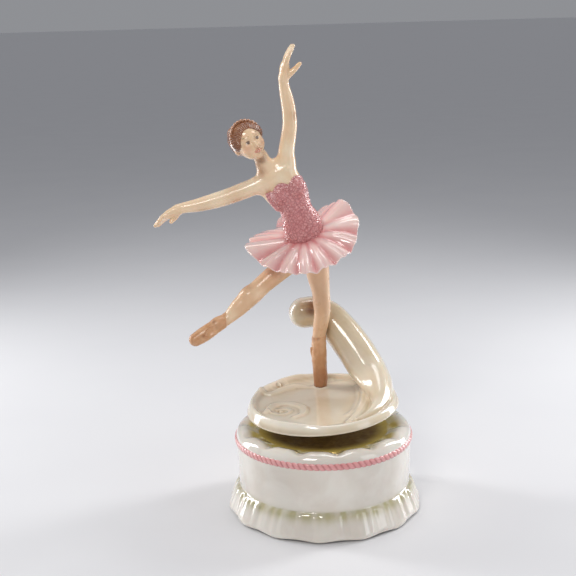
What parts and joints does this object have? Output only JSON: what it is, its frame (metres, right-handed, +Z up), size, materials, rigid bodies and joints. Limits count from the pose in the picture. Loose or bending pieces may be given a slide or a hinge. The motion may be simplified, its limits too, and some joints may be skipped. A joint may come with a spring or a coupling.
{
  "type": "ballerina musical figurine",
  "caption": "Porcelain ballerina on a revolving wave-shaped stand over a ruffled pouf base that holds a wind-up musical movement.",
  "frame": {"origin": "bottom centre of the whole object's bounding box, on the surface it stands on; the stand's turning axis is 14.3 mm to +X of it", "axes": "+Z up along the turning axis; +X to the viewer's right, away from the outstretched arm; +Y from the viewer through the object to its back"},
  "size_m": [0.1169, 0.0882, 0.205],
  "materials": {
    "white_porcelain": "glossy glaze over white porcelain, pink twisted piping",
    "cream_porcelain": "glossy cream glaze",
    "skin_glaze": "glossy painted skin tone",
    "tights_glaze": "glossy painted tan tights and ballet shoes",
    "hair_glaze": "glossy painted brown",
    "bodice_glaze": "dusty rose glaze with a lace relief",
    "tutu_glaze": "glossy pale pink glaze, deeper in the pleats",
    "brass": "machined",
    "zinc": "die cast",
    "steel": "ground",
    "spring_steel": "blued strip",
    "nylon": "moulded, satin",
    "black_board": "fibre board, matt",
    "hot_glue": "translucent bead"
  },
  "bodies": {
    "base": {"base_shell": "white_porcelain", "bottom_plate": "black_board", "glue_bead": "hot_glue", "movement_screw_1": "steel", "movement_screw_2": "steel", "movement_screw_3": "steel", "movement_bedplate": "zinc", "spring_barrel": "brass", "barrel_lid": "brass", "mainspring": "spring_steel", "tuned_comb": "steel", "comb_screw_1": "steel", "comb_screw_2": "steel", "governor_frame": "zinc", "governor_frame_screw": "steel", "top_bush": "nylon"},
    "key": {"winding_key": "brass", "winding_arbor": "steel"},
    "turntable": {"great_wheel": "brass", "clutch_spring": "steel", "output_spindle": "steel", "spindle_coupling": "brass", "swivel_disc": "cream_porcelain", "wave_support": "cream_porcelain", "standing_leg": "tights_glaze", "raised_leg": "tights_glaze", "torso": "bodice_glaze", "tutu": "tutu_glaze", "raised_arm": "skin_glaze", "outstretched_arm": "skin_glaze", "head": "skin_glaze", "hair": "hair_glaze"},
    "cylinder": {"pinned_cylinder": "brass", "cylinder_arbor": "steel", "crown_pinion": "brass", "cylinder_gear": "brass"},
    "governor_wheel": {"governor_pinion": "nylon", "governor_worm_wheel": "nylon", "governor_axle": "steel"},
    "air_brake_rotor": {"governor_worm": "steel", "air_brake": "brass"}
  },
  "joints": [
    {"name": "turntable_spin", "type": "hinge", "parent": "base", "child": "turntable", "pos_m": [0.0143, 0, 0], "axis": [0, 0, 1], "continuous": true},
    {"name": "key_wind", "type": "hinge", "parent": "base", "child": "key", "pos_m": [0.0143, 0, 0], "axis": [0, 0, 1], "range_deg": [0, 1620]},
    {"name": "cylinder_spin", "type": "hinge", "parent": "base", "child": "cylinder", "pos_m": [0.0343, 0, 0.02468], "axis": [1, 0, 0], "continuous": true},
    {"name": "governor_wheel_spin", "type": "hinge", "parent": "base", "child": "governor_wheel", "pos_m": [0.0343, -0.00814, 0.01998], "axis": [1, 0, 0], "continuous": true},
    {"name": "air_brake_spin", "type": "hinge", "parent": "base", "child": "air_brake_rotor", "pos_m": [0.0343, -0.01214, 0.01998], "axis": [0, 0, 1], "continuous": true}
  ],
  "couplings": [
    {"joint": "cylinder_spin", "follows": "turntable_spin", "ratio": 3},
    {"joint": "governor_wheel_spin", "follows": "turntable_spin", "ratio": -8.75},
    {"joint": "air_brake_spin", "follows": "turntable_spin", "ratio": -122.5}
  ]
}
